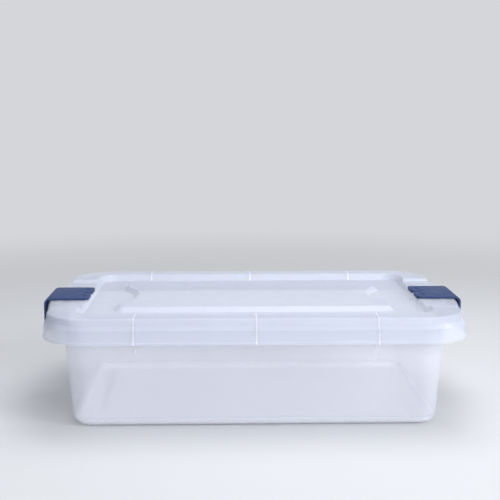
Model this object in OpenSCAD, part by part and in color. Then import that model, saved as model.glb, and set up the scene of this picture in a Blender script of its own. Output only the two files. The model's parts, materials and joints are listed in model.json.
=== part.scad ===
// Long, low storage box: a translucent tub, a lid that caps its rim, and a latch on each end.
// The origin is the middle of the base, on the surface it stands on. X runs along the box and Z is up.
// Each latch turns on a pin moulded with the tub, below the lid's lip, and folds over the lid's end.

/* [Box] */
// Length over the lid's lip
box_length = 600; // [490:1:740]
// Width over the lid's lip
box_width = 414; // [344:1:500]
// Height from the base to the top of the lid's border
box_height = 164; // [130:1:200]
// Corner radius of the lid's lip, seen from above
corner_r = 68; // [56:1:84]

/* [Tub] */
// Thickness of the tub's walls, base and rim
tub_t = 2; // [1.6:0.1:2.6]
// Lean of the walls from upright, in degrees
wall_draft = 5; // [2:0.1:6]
// How far the lid's lip stands out past the top of the wall
rim_overhang = 28; // [25:0.5:34]
// Radius along the bottom edge, kept smaller where the corner is too tight for it
base_fillet = 20; // [10:1:24]
// Radius of the bend from the wall into the rim, on its underside
rim_bend = 3; // [2:0.5:5]
// Radius of the rim's outer edge
rim_round = 4; // [3:0.5:6]
// Gap between the rim's outer face and the inside of the lid's skirt
rim_clear = 1.8; // [1:0.1:3]
// How far the apron that hangs from the rim ends above the lid's lip
apron_rise = 4; // [2:0.5:8]
// Width of the flat ring that the base stands on
ring_w = 16; // [8:1:30]
// Corner radius inside that ring
ring_r = 12; // [6:1:20]
// How far the middle of the base is lifted off the surface
base_lift = 1.5; // [0.5:0.1:3]
// Thickness of the gussets under the rim
gusset_t = 2.4; // [1.6:0.1:4]
// How far the gussets reach down the wall below the lid's lip
gusset_drop = 14; // [6:1:24]

/* [Lid] */
// Thickness of the lid
lid_t = 2.2; // [1.8:0.1:2.6]
// Height of the skirt round the lid
skirt_h = 36; // [30:1:44]
// Radius of the lid's top edge
edge_round = 3; // [2.8:0.1:5]
// Height of the skirt's upper band, edge included
upper_band_h = 9.5; // [7:0.5:11]
// Height of the sloping shoulder below the upper band
shoulder_h = 6.5; // [4:0.5:8]
// How far the shoulder steps out
shoulder_out = 3.5; // [2:0.5:6]
// How far each band of the skirt leans out from its top to its foot
band_lean = 1; // [0.5:0.1:2]
// How far the lip stands out from the lower band
lip_out = 1; // [0.5:0.1:2]
// Height of the lip's upright edge
lip_h = 3; // [1.5:0.1:4]
// How far each end of the lid bows out past its lip
bow_out = 9.9; // [6:0.1:14]
// Radius of the bowed ends, seen from above
bow_r = 560; // [460:1:700]
// Radius of the bowed ends' top edge
bow_round = 5; // [4:0.5:6]
// Width of the border at each end, from the top edge to the recess
end_border = 40; // [36:1:48]
// Width of the border along each side
side_border = 33.5; // [28:0.5:40]
// Depth of the stacking recess below the border
recess_depth = 10; // [8:0.5:12]
// How far the recess's walls slope in over that depth
recess_run = 8; // [4:0.5:12]
// Corner radius of the recess at the border
recess_r = 32; // [20:1:44]
// How far each end of the border is lowered to take its latch
saddle_depth = 4; // [3:0.1:5]
// Distance from the lowered part to the corner's centre, along the width
saddle_inset = 29; // [20:1:40]
// Width of the recess's floor at each end of the raised plaque
plaque_end = 41.5; // [30:0.5:60]
// Width of the recess's floor at each side of the plaque
plaque_side = 51; // [30:1:60]
// Height of the plaque above the recess's floor, with sides at 45 degrees
plaque_h = 7; // [4:0.5:8]
// Corner radius of the plaque
plaque_r = 16; // [12:1:30]
// Width of the finger scoop in each end of the plaque, as a share of the plaque's width
scoop_share = 0.55; // [0.45:0.01:0.65]
// Depth of the finger scoop
scoop_depth = 22; // [12:1:26]
// Thickness of the cross ribs under the border
rib_t = 3; // [2:0.1:4]
// Place of the outer ribs, as a share of the way to the corner's centre
rib_share = 0.72; // [0.5:0.01:0.9]
// Gap between the ribs and the outside of the tub's rim
rib_clear = 0.6; // [0.4:0.1:0.8]
// Radius of the moulding gate marks on the plaque
gate_r = 2.2; // [1.5:0.1:3]
// Height of the gate marks
gate_h = 0.6; // [0.3:0.1:1]
// Place of the gate marks, as a share of the way to the plaque's end
gate_share = 0.65; // [0.4:0.01:0.75]

/* [Latch] */
// Width of a latch, along its pin
latch_w = 92; // [76:1:112]
// Thickness of a latch's plate and arm
latch_t = 3.4; // [2.8:0.1:3.6]
// Outer radius of the bend between plate and arm
bend_r = 9; // [7:0.5:12]
// Depth of the bead under the finger tips
bead_h = 1.2; // [0.6:0.1:1.6]
// Thickness of that bead
bead_t = 1.4; // [1:0.1:1.6]
// Gap between that bead and the recess's wall
bead_clear = 0.3; // [0.2:0.1:0.8]
// Corner radius of the fingers
finger_r = 6; // [3:0.5:9]
// Width of the gap between the two fingers
finger_gap = 8; // [6:0.5:12]
// Depth of the gap between the fingers
finger_depth = 14; // [10:0.5:18]
// Radius that the thumb dimples are scooped with
dimple_r = 8; // [6:0.5:10]
// Depth of the thumb dimples
dimple_depth = 1.5; // [0.8:0.1:1.8]
// Length of the straight part of each dimple
dimple_len = 12; // [6:0.5:16]
// Clearance between the lid's saddle and a closed latch
plate_gap = 0.3; // [0.2:0.1:0.6]

/* [Hinge] */
// Radius of the pin
pin_r = 2.5; // [2:0.1:3.2]
// Running clearance between pin and barrel
pin_clear = 0.05; // [0.02:0.01:0.1]
// Wall of the latch's barrels
barrel_t = 3; // [2.4:0.1:3.6]
// Width of the slot by which a barrel clips over its pin
snap_gap = 4.2; // [3:0.1:4.4]
// Distance from the bowed end's lip in to the pin's axis
pin_in = 1.7; // [1.4:0.1:1.8]
// Distance from the lip down to the pin's axis
pin_drop = 9; // [7.5:0.5:12]
// Wall of the lugs round the pin
lug_t = 2; // [1.6:0.1:3]
// Width of the middle lug
mid_lug_w = 16; // [10:1:24]
// Width of each outer lug
end_lug_w = 6; // [4:0.5:8]
// Gap beside each lug
lug_gap = 0.4; // [0.3:0.1:0.8]
// How far the bracket reaches past the latch on each side
bracket_margin = 10; // [6:1:16]
// Depth of the bracket below the pin's axis
bracket_drop = 7; // [5:0.5:12]

/* [Hidden] */
$fn = 96;
// Amount by which a cut runs past a face
over = 1;
// Amount by which a leaning face is sunk into the rounding it runs into, so that the two cross cleanly
bite = 0.01;
// Gap in which the lid rests on the rim
seat_gap = 0.2;
// Smallest radius left on the base's flat ring at its corners
least_r = 0.5;
// Clearance round the nub that stands between a latch's fingers
nub_clear = 1;
// Height of that nub
nub_h = 2.2;
// Clearance between a lug and the latch's arm as it swings over
swing_clear = 1.8;
// Sine of the angle that a bowed end is swept through to each side, well past the corners
bow_turn_sine = 0.6;
// How far the bowed end's edges are sunk into the face of the skirt beside them
bow_sink = 0.9;
// Distance from a bracket's edge to the end gusset beside it
gusset_beside = 30;

// Half sizes, and the corner centres that every ring follows
hx = box_length / 2;
hy = box_width / 2;
cx = hx - corner_r;
cy = hy - corner_r;

// Lid levels and radii, measured out from the corner centres
lip_z = box_height - skirt_h;
edge_r = corner_r - 2 * band_lean - shoulder_out - lip_out;
band_z = box_height - upper_band_h;
shoulder_z = band_z - shoulder_h;
flare_z = lip_z + lip_h + lip_out;
saddle_z = box_height - saddle_depth;
recess_hx = cx + edge_r - end_border;
recess_hy = cy + edge_r - side_border;
recess_z = box_height - recess_depth;
recess_slope = recess_run / recess_depth;
// Width across the recess's sloping wall that leaves it as thick as the lid
recess_wall = hundredth(lid_t * norm([recess_depth, recess_run]) / recess_depth);
// Distance by which a 45 degree wall's inner face is set back at the level of its underside
miter = hundredth((sqrt(2) - 1) * lid_t);
plaque_z = recess_z + plaque_h;
plaque_hx = recess_hx - recess_run - plaque_end;
plaque_hy = recess_hy - recess_run - plaque_side;
// The scoop's radius, from half its width and its depth
scoop_half = scoop_share * plaque_hy;
scoop_r = (scoop_half ^ 2 + scoop_depth ^ 2) / (2 * scoop_depth);
rib_x = rib_share * cx;
gate_x = gate_share * plaque_hx;
saddle_hy = cy - saddle_inset;
// The skirt's outer face from the top edge down to the lip, and the step from it to the inner face
skirt_face = [
    [edge_r, box_height - edge_round],
    [edge_r + band_lean, band_z],
    [edge_r + band_lean + shoulder_out, shoulder_z],
    [corner_r - lip_out, flare_z],
    [corner_r, flare_z - lip_out],
    [corner_r, lip_z]
];
skirt_dip = [-lid_t, -lid_t / 2];
// The bowed end's outer face, measured out from its radius, and the place of the bow's axis
bow_centre = [-bow_round, saddle_z - bow_round];
bow_face = [
    [0, saddle_z - bow_round],
    [band_lean, flare_z],
    [band_lean + lip_out, flare_z - lip_out],
    [band_lean + lip_out, lip_z]
];
bow_x = hx + bow_out - band_lean - lip_out;
bow_axis_x = bow_x - bow_r;
bow_depth = bow_x - cx - edge_r + lid_t;

// Tub levels and radii
rim_z = saddle_z - lid_t - seat_gap;
apron_r = edge_r - lid_t - rim_clear;
wall_top_r = corner_r - rim_overhang;
lean = tan(wall_draft);
foot_r = wall_top_r - rim_z * lean;
fillet_set = 1 / cos(wall_draft) - lean;
fillet = min(base_fillet, (foot_r - least_r) / fillet_set);
flat_r = foot_r - fillet * fillet_set;
fillet_centre = [flat_r, fillet];
bend_z = rim_z - tub_t - rim_bend;
bend_centre = [wall_r(bend_z) + rim_bend / cos(wall_draft), bend_z];
rim_centre = [apron_r - rim_round, rim_z - rim_round];
// Direction square to the wall's outer face
outward = [cos(wall_draft), -sin(wall_draft)];
apron_z = lip_z + apron_rise;
gusset_z = lip_z - gusset_drop;

// Hinge and latch places on the end that faces +X
pin_x = hx + bow_out - pin_in;
pin_z = lip_z - pin_drop;
bore_r = pin_r + pin_clear;
barrel_r = bore_r + barrel_t;
lug_r = pin_r + lug_t;
barrel_in = mid_lug_w / 2 + lug_gap;
barrel_out = latch_w / 2 - end_lug_w - lug_gap;
bracket_w = latch_w + 2 * bracket_margin;
arm_x = pin_x + barrel_r;
plate_z = saddle_z + plate_gap;
plate_top = plate_z + latch_t;
saddle_edge_x = recess_hx - recess_slope * saddle_depth;
tip_x = saddle_edge_x - recess_slope * max(bead_h - plate_gap, 0) - bead_clear - bead_t;
finger_w = (latch_w - finger_gap) / 2;
bend_x = arm_x - bend_r;

tub_colour = [0.87, 0.89, 0.94, 0.7];
lid_colour = [0.84, 0.87, 0.93, 0.8];
latch_colour = [0.33, 0.38, 0.52];

// A length rounded to a hundredth, so that a rounded corner and the flats beside it meet exactly
function hundredth(length) = round(100 * length) / 100;

// Radius of the wall's outer face at height z
function wall_r(z) = foot_r + z * lean;

// Place of the recess's inner end face at height z
function recess_x(z) = recess_hx - recess_slope * (box_height - z);

// Place of the recess's inner side face at height z
function recess_y(z) = recess_hy - recess_slope * (box_height - z);

// Block with upright rounded corners
module rounded_block(half_x, half_y, r, z0, z1) {
    translate([0, 0, z0]) {
        translate([r - half_x, -half_y, 0])
            cube([2 * (half_x - r), 2 * half_y, z1 - z0]);
        translate([-half_x, r - half_y, 0])
            cube([2 * half_x, 2 * (half_y - r), z1 - z0]);
        for (x = [r - half_x, half_x - r], y = [r - half_y, half_y - r])
            translate([x, y, 0]) cylinder(r = r, h = z1 - z0);
    }
}

// Block whose sides slope in by inset from z0 to z1, with rounded corners
module rounded_frustum(half_x, half_y, r, z0, z1, inset) {
    rotate([90, 0, 90])
        linear_extrude(height = 2 * (half_x - r), center = true)
            trapezoid(half_y, half_y - inset, z0, z1);
    rotate([90, 0, 0])
        linear_extrude(height = 2 * (half_y - r), center = true)
            trapezoid(half_x, half_x - inset, z0, z1);
    for (x = [r - half_x, half_x - r], y = [r - half_y, half_y - r])
        translate([x, y, z0]) cylinder(r1 = r, r2 = r - inset, h = z1 - z0);
}

module trapezoid(half_low, half_high, z0, z1) {
    polygon([[-half_low, z0], [half_low, z0], [half_high, z1], [-half_high, z1]]);
}

// Part of a flat ring, from one angle to another
module arc_band(centre, r, t, from, to) {
    middle = (from + to) / 2;
    translate(centre) intersection() {
        difference() {
            circle(r);
            circle(r - t);
        }
        polygon([[0, 0], for (a = [from, middle, to]) 2 * r * [cos(a), sin(a)]]);
    }
}

// Runs a profile of radius and height round the box, past corner centres at plus and minus cx, cy
module ring_sweep() {
    corners = [[cx, cy], [-cx, cy], [-cx, -cy], [cx, -cy]];
    for (i = [0 : 3])
        translate(corners[i]) rotate(90 * i) rotate_extrude(angle = 90) children();
    for (turn = [0, 180]) {
        rotate(turn) translate([cx, 0, 0]) rotate([90, 0, 0])
            linear_extrude(height = 2 * cy, center = true) children();
        rotate(turn + 90) translate([cy, 0, 0]) rotate([90, 0, 0])
            linear_extrude(height = 2 * cx, center = true) children();
    }
}

// Repeats what is drawn on the +X end on both ends
module both_ends() {
    for (turn = [0, 180]) rotate(turn) children();
}

// Upright plate of thickness t, from an outline of distance and height, facing along Y
module upright(t) {
    rotate([90, 0, 0]) linear_extrude(height = t, center = true) children();
}

// Tub: its outline filled from the middle out to a face set in by inset, up to the level top
module tub_fill(inset, top, sink) {
    r = fillet - inset;
    intersection() {
        translate(fillet_centre) circle(r);
        translate([0, -over]) square([flat_r + fillet + over, 2 * (fillet + over)]);
    }
    translate([0, inset]) square([flat_r, fillet + over - inset]);
    polygon([
        [0, fillet],
        fillet_centre,
        fillet_centre + (r - bite) * outward,
        [wall_r(top) - inset / cos(wall_draft) + sink, top],
        [0, top]
    ]);
}

// Tub: the block from the middle out to the apron that the rim is cut from
module rim_fill() {
    translate([0, apron_z]) square([apron_r, rim_z - rim_round - apron_z]);
    translate([0, apron_z]) square([apron_r - rim_round, rim_z - apron_z]);
    translate(rim_centre) circle(rim_round);
}

// Tub: the space over the rounded bend from the wall into the rim
module rim_mouth() {
    below = bend_centre - (rim_bend + tub_t / 2) * outward;
    difference() {
        polygon([
            [0, below[1]],
            below,
            bend_centre,
            [bend_centre[0], rim_z + over],
            [0, rim_z + over]
        ]);
        translate(bend_centre) circle(rim_bend + tub_t);
    }
}

// Tub: the space under the rim, between the wall and the apron
module rim_hollow() {
    translate(bend_centre) circle(rim_bend);
    translate(rim_centre) circle(rim_round - tub_t);
    polygon([
        [wall_r(apron_z), apron_z],
        bend_centre - (rim_bend - bite) * outward,
        bend_centre,
        [bend_centre[0], rim_z - tub_t],
        [rim_centre[0], rim_z - tub_t],
        rim_centre,
        [apron_r - tub_t, rim_centre[1]],
        [apron_r - tub_t, apron_z]
    ]);
}

// Tub: its section from the base up to the rim and down the apron
module tub_section() {
    difference() {
        union() {
            tub_fill(0, apron_z, 0);
            rim_fill();
        }
        tub_fill(tub_t, rim_z + over, bite);
        rim_mouth();
        rim_hollow();
    }
}

// Web between the wall and the apron, tapering down the wall
module rim_gusset() {
    half = tub_t / 2;
    upright(gusset_t) polygon([
        [wall_r(rim_z - half) - half, rim_z - half],
        [apron_r - half, rim_z - half],
        [apron_r - half, apron_z + tub_t],
        [wall_r(gusset_z) - half, gusset_z]
    ]);
}

// Plate hung from the apron, with three lugs and the pin that a latch turns on
module hinge_bracket() {
    plate_x = cx + apron_r - tub_t;
    low_z = pin_z - bracket_drop;
    translate([plate_x, -bracket_w / 2, low_z])
        cube([tub_t, bracket_w, apron_z + tub_t - low_z]);
    lug_at = (latch_w - end_lug_w) / 2;
    for (lug = [[-lug_at, end_lug_w], [0, mid_lug_w], [lug_at, end_lug_w]])
        translate([0, lug[0], 0]) upright(lug[1]) {
            translate([pin_x, pin_z]) circle(lug_r);
            translate([plate_x + tub_t / 2, pin_z - lug_r])
                square([pin_x - plate_x - tub_t / 2, 2 * lug_r]);
        }
    translate([pin_x, 0, pin_z]) rotate([90, 0, 0])
        cylinder(r = pin_r, h = latch_w, center = true);
}

// Base: a flat ring to stand on, with the middle lifted clear
module base() {
    half_x = cx + flat_r - ring_w;
    half_y = cy + flat_r - ring_w;
    difference() {
        union() {
            translate([-cx, -cy, 0]) cube([2 * cx, 2 * cy, tub_t]);
            rounded_block(half_x + tub_t, half_y + tub_t, ring_r + tub_t, 0, base_lift + tub_t);
        }
        rounded_block(half_x, half_y, ring_r, -over, base_lift);
    }
}

module tub() color(tub_colour) {
    ring_sweep() tub_section();
    base();
    for (turn = [90, 270], x = [-rib_x, rib_x])
        rotate(turn) translate([cy, x, 0]) rim_gusset();
    both_ends() {
        hinge_bracket();
        for (side = [-1, 1])
            translate([cx, side * (bracket_w / 2 + gusset_beside), 0]) rim_gusset();
    }
}

// Lid: the skirt's section, from the rounded top edge down to the lip
module skirt_section() {
    polygon([
        each skirt_face,
        skirt_face[5] - [lid_t, 0],
        for (i = [4, 3, 2, 1]) skirt_face[i] + skirt_dip,
        skirt_face[0] - [lid_t, 0]
    ]);
    centre = [edge_r - edge_round, box_height - edge_round];
    arc_band(centre, edge_round, lid_t, 0, 90);
}

// Bow: runs a profile of radius and height along the bowed end, inside an outline of width and height
module bow_sweep(x0, outline) {
    turn = asin(bow_turn_sine);
    intersection() {
        translate([bow_axis_x, 0, 0]) rotate(-turn)
            rotate_extrude(angle = 2 * turn) translate([bow_r, 0]) children();
        translate([x0, 0, 0]) rotate([90, 0, 90])
            linear_extrude(height = hx + bow_out + over - x0) polygon(outline);
    }
}

// Half the width of the bowed end where its face has come in by depth, and is sunk into the skirt
function bow_half(depth) = sqrt(2 * bow_r * (depth + bow_sink));

// Bow: the end of the lid that bulges out under the latch
module end_bow() {
    from_top = [
        [bow_half(bow_x - cx - edge_r), saddle_z + over],
        for (i = [1, 2]) [bow_half(bow_x - cx - skirt_face[i][0]), skirt_face[i][1]],
        [bow_half(bow_out), lip_z - over]
    ];
    outline = [each from_top, for (i = [3 : -1 : 0]) [-from_top[i][0], from_top[i][1]]];
    bow_sweep(cx + edge_r - 3 / 4 * lid_t, outline) {
        polygon([
            each bow_face,
            bow_face[3] - [lid_t, 0],
            for (i = [2, 1]) bow_face[i] + skirt_dip,
            bow_face[0] - [lid_t, 0]
        ]);
        arc_band(bow_centre, bow_round, lid_t, 0, 90);
        translate([-bow_depth, saddle_z - lid_t]) square([bow_depth - bow_round, lid_t]);
    }
}

// Bow: the part of the straight skirt that it takes the place of, out to the middle of its wall
module bow_space() {
    half = lid_t / 2;
    low_z = lip_z - over;
    top_z = saddle_z - lid_t;
    outline = [[cy, low_z], [cy, top_z], [-cy, top_z], [-cy, low_z]];
    bow_sweep(cx + apron_r + over, outline) {
        translate(bow_centre) circle(bow_round - half);
        polygon([
            [-bow_depth, low_z],
            [bow_face[3][0] - half, low_z],
            for (i = [2, 1, 0]) bow_face[i] - [half, 0],
            bow_centre,
            [bow_centre[0], saddle_z],
            [-bow_depth, saddle_z]
        ]);
    }
}

// Recess: its outside, which also thickens its floor by the lid's wall
module recess_pan() {
    inset = hundredth(recess_slope * (recess_depth + lid_t));
    rounded_frustum(recess_hx + recess_wall - inset, recess_hy + recess_wall - inset,
        recess_r + recess_wall - inset, recess_z - lid_t, box_height, -inset);
}

// Recess: the space inside it, run past the border
module recess_space() {
    past = hundredth(recess_slope * over);
    rounded_frustum(recess_hx - recess_run, recess_hy - recess_run, recess_r - recess_run,
        recess_z, box_height + over, -recess_run - past);
}

// Saddle: the plate that closes the lowered end of the border, filled up to the border
module saddle_fill() {
    z0 = saddle_z - lid_t;
    z1 = box_height - lid_t / 2;
    half = saddle_hy + miter;
    x0 = recess_x(z0) + recess_wall / 2;
    x1 = cx + edge_r - lid_t / 2;
    translate([x0, 0, 0]) rotate([90, 0, 90])
        linear_extrude(height = x1 - x0) trapezoid(half, half + z1 - z0, z0, z1);
}

// Saddle: the space that the latch lies in, run out past the skirt and into the recess
module saddle_space() {
    x0 = recess_x(recess_z);
    top = box_height + over;
    half = saddle_hy;
    translate([x0, 0, 0]) rotate([90, 0, 90])
        linear_extrude(height = hx - x0) trapezoid(half, half + top - saddle_z, saddle_z, top);
}

// Nub that stands between the two fingers of a closed latch
module finger_nub() {
    half = finger_gap / 2 - nub_clear;
    x0 = recess_x(saddle_z) + nub_clear;
    x1 = tip_x + finger_depth - half - nub_clear;
    translate([x0, -half, saddle_z - lid_t / 2]) cube([x1 - x0, 2 * half, nub_h + lid_t / 2]);
    translate([x1, 0, saddle_z - lid_t / 2]) cylinder(r = half, h = nub_h + lid_t / 2);
}

// Cross rib in the hollow of the border, and on down the inside of the skirt past the rim
module border_rib() {
    z0 = saddle_z - lid_t;
    z1 = box_height - lid_t / 2;
    rib_r = apron_r + rib_clear;
    lead = skirt_face[3] + skirt_dip / 2;
    rotate([90, 0, 90]) linear_extrude(height = rib_t, center = true) {
        polygon([
            [recess_y(z0) + recess_wall / 2, z0],
            [cy + edge_r - lid_t / 2, z0],
            [cy + edge_r - lid_t / 2, z1],
            [recess_y(z1) + recess_wall / 2, z1]
        ]);
        translate([cy, 0]) polygon([
            for (i = [0 : 3]) skirt_face[i] + skirt_dip / 2,
            [rib_r, lead[1] + lead[0] - rib_r],
            [rib_r, skirt_face[0][1]]
        ]);
    }
}

// Plaque shape with sides at 45 degrees and a scoop in each end, standing on z0, grown by extra
module plaque_shape(z0, extra) {
    scoop_x = plaque_hx + scoop_r - scoop_depth;
    difference() {
        rounded_frustum(plaque_hx + extra, plaque_hy + extra, plaque_r + extra,
            z0, z0 + plaque_h, plaque_h);
        both_ends() translate([scoop_x, 0, z0 - over])
            cylinder(r1 = scoop_r - extra - over, r2 = scoop_r - extra + plaque_h + over,
                h = plaque_h + 2 * over);
    }
}

module lid() color(lid_colour) {
    top_r = edge_r - edge_round;
    difference() {
        union() {
            difference() {
                union() {
                    rounded_block(cx + top_r, cy + top_r, top_r, box_height - lid_t, box_height);
                    difference() {
                        ring_sweep() skirt_section();
                        both_ends() bow_space();
                    }
                    recess_pan();
                    both_ends() {
                        saddle_fill();
                        end_bow();
                    }
                    for (turn = [0, 180], x = [-rib_x, 0, rib_x])
                        rotate(turn) translate([x, 0, 0]) border_rib();
                }
                recess_space();
                both_ends() saddle_space();
            }
            plaque_shape(recess_z, 0);
            both_ends() finger_nub();
        }
        plaque_shape(recess_z - lid_t, -miter);
    }
    for (side = [-1, 1])
        translate([side * gate_x, 0, plaque_z - over]) cylinder(r = gate_r, h = gate_h + over);
}

// Latch: one finger of the plate, seen from above
module finger_outline() {
    length = finger_depth + finger_r;
    translate([finger_r, 0]) square([length - finger_r, finger_w]);
    translate([0, finger_r]) square([length, finger_w - 2 * finger_r]);
    for (y = [finger_r, finger_w - finger_r]) translate([finger_r, y]) circle(finger_r);
}

// Latch: the flat plate over the lid, with its gap rounded at the root
module plate_outline() {
    root_x = tip_x + finger_depth;
    difference() {
        translate([root_x - finger_gap / 2, -latch_w / 2])
            square([bend_x - root_x + finger_gap / 2, latch_w]);
        translate([root_x - finger_gap / 2, 0]) circle(finger_gap / 2);
    }
    for (y = [-latch_w / 2, finger_gap / 2]) translate([tip_x, y]) finger_outline();
}

// Latch: its bend, and the arm down to the pin
module arm_section() {
    arc_band([bend_x, plate_top - bend_r], bend_r, latch_t, 0, 90);
    translate([arm_x - latch_t, pin_z]) square([latch_t, plate_top - bend_r - pin_z]);
}

// Dimple with round ends, scooped into the top of a finger
module thumb_dimple() {
    translate([0, 0, plate_top + dimple_r - dimple_depth]) {
        rotate([90, 0, 0]) cylinder(r = dimple_r, h = dimple_len, center = true);
        for (y = [-dimple_len / 2, dimple_len / 2]) translate([0, y, 0]) sphere(dimple_r);
    }
}

// Latch as it lies on the +X end
module latch() {
    finger_y = (finger_gap + finger_w) / 2;
    bead_y = finger_w - 2 * finger_r;
    dimple_x = tip_x + finger_depth - dimple_r / 2;
    lugs = [
        [-latch_w / 2 - over, -barrel_out],
        [-barrel_in, barrel_in],
        [barrel_out, latch_w / 2 + over]
    ];
    difference() {
        union() {
            translate([0, 0, plate_z]) linear_extrude(height = latch_t) plate_outline();
            upright(latch_w) {
                arm_section();
                translate([pin_x, pin_z]) circle(barrel_r);
            }
            for (side = [-1, 1])
                translate([tip_x, side * finger_y - bead_y / 2, plate_z - bead_h])
                    cube([bead_t, bead_y, bead_h + latch_t / 2]);
        }
        for (lug = lugs)
            translate([pin_x - barrel_r - over, lug[0], pin_z - barrel_r - over])
                cube([2 * (barrel_r + over), lug[1] - lug[0], barrel_r + over + lug_r + swing_clear]);
        translate([pin_x, 0, pin_z]) rotate([90, 0, 0])
            cylinder(r = bore_r, h = latch_w + 2 * over, center = true);
        translate([pin_x - snap_gap / 2, -latch_w / 2 - over, pin_z - barrel_r - over])
            cube([snap_gap, latch_w + 2 * over, barrel_r + over]);
        for (side = [-1, 1]) translate([dimple_x, side * finger_y, 0]) thumb_dimple();
    }
}

module left_latch() color(latch_colour) rotate(180) latch();

module right_latch() color(latch_colour) latch();

tub();
lid();
left_latch();
right_latch();
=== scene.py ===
"""Under-bed storage box: the looks of its tub, lid and two latches, on a plain studio stage."""
import json
import math

import bmesh
import bpy
from bpy.props import FloatProperty, FloatVectorProperty, PointerProperty
from bpy.types import Operator, Panel, PropertyGroup
from mathutils import Matrix, Vector


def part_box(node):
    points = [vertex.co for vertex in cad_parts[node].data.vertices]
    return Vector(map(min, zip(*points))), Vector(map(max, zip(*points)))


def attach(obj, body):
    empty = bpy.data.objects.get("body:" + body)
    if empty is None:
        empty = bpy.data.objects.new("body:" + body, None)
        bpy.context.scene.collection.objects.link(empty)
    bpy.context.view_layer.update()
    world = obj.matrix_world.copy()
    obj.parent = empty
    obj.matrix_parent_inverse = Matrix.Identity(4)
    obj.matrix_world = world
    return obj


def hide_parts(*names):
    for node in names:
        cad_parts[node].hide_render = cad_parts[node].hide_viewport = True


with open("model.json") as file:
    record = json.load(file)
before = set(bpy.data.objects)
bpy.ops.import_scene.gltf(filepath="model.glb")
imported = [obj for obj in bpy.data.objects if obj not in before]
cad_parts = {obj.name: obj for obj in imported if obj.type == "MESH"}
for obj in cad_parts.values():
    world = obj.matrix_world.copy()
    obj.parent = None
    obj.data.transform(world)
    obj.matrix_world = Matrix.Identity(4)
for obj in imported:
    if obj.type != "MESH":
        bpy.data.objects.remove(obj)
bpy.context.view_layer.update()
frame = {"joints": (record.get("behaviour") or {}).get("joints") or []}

bl_info = {
    "name": "Under-Bed Storage Box",
    "version": (1, 0, 0),
    "blender": (4, 5, 0),
    "location": "3D View > Sidebar > Storage Box",
    "description": "Makes a translucent under-bed box from its tub, lid and latches, with a stage",
    "category": "Add Mesh",
}

MM = 0.001
TUB_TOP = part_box("tub")[1].z
LID_LOW, LID_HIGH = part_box("lid")
LATCH_LOW, LATCH_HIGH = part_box("right_latch")
HINGE = next(joint for joint in frame["joints"] if joint["name"] == "right_latch_hinge")
PIN_X, _, PIN_Z = HINGE["pos_m"]

LIP_LENGTH_MM = 600
CORNER_STEPS = 16
BEND_STEPS = 12
EDGE_STEPS = 4
SHARP_EDGE = math.radians(33)
MERGE = 1e-6
ON_LEVEL = 1e-5
ON_PLANE = 1e-7
UPRIGHT = Matrix.Identity(4)
ALONG_Y = Matrix(((1, 0, 0, 0), (0, 0, 1, 0), (0, 1, 0, 0), (0, 0, 0, 1)))
ALONG_X = Matrix(((0, 0, 1, 0), (1, 0, 0, 0), (0, 1, 0, 0), (0, 0, 0, 1)))

# Where the lid's rows have points on an end, in mm from its middle: on the border, for a saddle
# whose flat is STEP_SADDLE either way, and on the plaque, for a scoop of STEP_SCOOP either way.
END_STEP = (0, 12, 24, 36, 48, 62, 78, 94, 107.5, 109, 110, 111, 112, 113, 114, 115, 116.5, 121, 127)
SCOOP_STEP = (0, 4, 8, 12, 16, 24, 31, 38, 44, 49, 53, 56, 58.5, 61, 64, 68, 73, 79, 86)
STEP_SADDLE = 110 * MM
STEP_SCOOP = 59.4 * MM

# The plastic's noise, its tone and alpha where it is denser behind a rib and where light is painted
# on the tub's base, and the heights over which a rib's line comes in and that painted light fades out.
FLOW_SCALE = 7.0
HAZE_SCALE = 55.0
HAZE_RANGE = (0.3, 0.7)
BUMP_STRENGTH = 0.2
DENSE_AND_PAINTED_LIGHT_TONE = (0.96, 0.97, 1.0, 1)
DENSE_AND_PAINTED_LIGHT_ALPHA = 0.9
RIB_FADE = 15 * MM
BASE_PAINTED_LIGHT_FADE = (6 * MM, 14 * MM)

# The stage: where the floor fades out, from the middle, and what the lamps are aimed at.
FLOOR_FADE = (0.7, 2.2)
LAMP_AIM = Vector((0, 0, 0.1))


def size(label, default_mm, about):
    """A length property, with its default in millimetres."""
    return FloatProperty(name=label, description=about, default=default_mm * MM, min=0.0,
                         precision=4, subtype="DISTANCE", unit="LENGTH")


def colour(label, default, about):
    """A colour property in linear values."""
    return FloatVectorProperty(name=label, description=about, default=default, size=3,
                               min=0.0, max=1.0, subtype="COLOR")


class BoxSizes(PropertyGroup):
    """Sizes that the tub and the lid share."""

    length: size("Length", LIP_LENGTH_MM, "Length over the lid's lip, without the bow of its ends")
    width: size("Width", (LID_HIGH.y - LID_LOW.y) / MM, "Width over the lid's lip")
    height: size("Height", LID_HIGH.z / MM, "Height of the lid's border above the floor")
    corner: size("Corner radius", 68, "Radius of the lip's corners, seen from above")
    rib_x: size("Rib place", 167.04, "Distance of the outer ribs from the middle of a long side")


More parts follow.
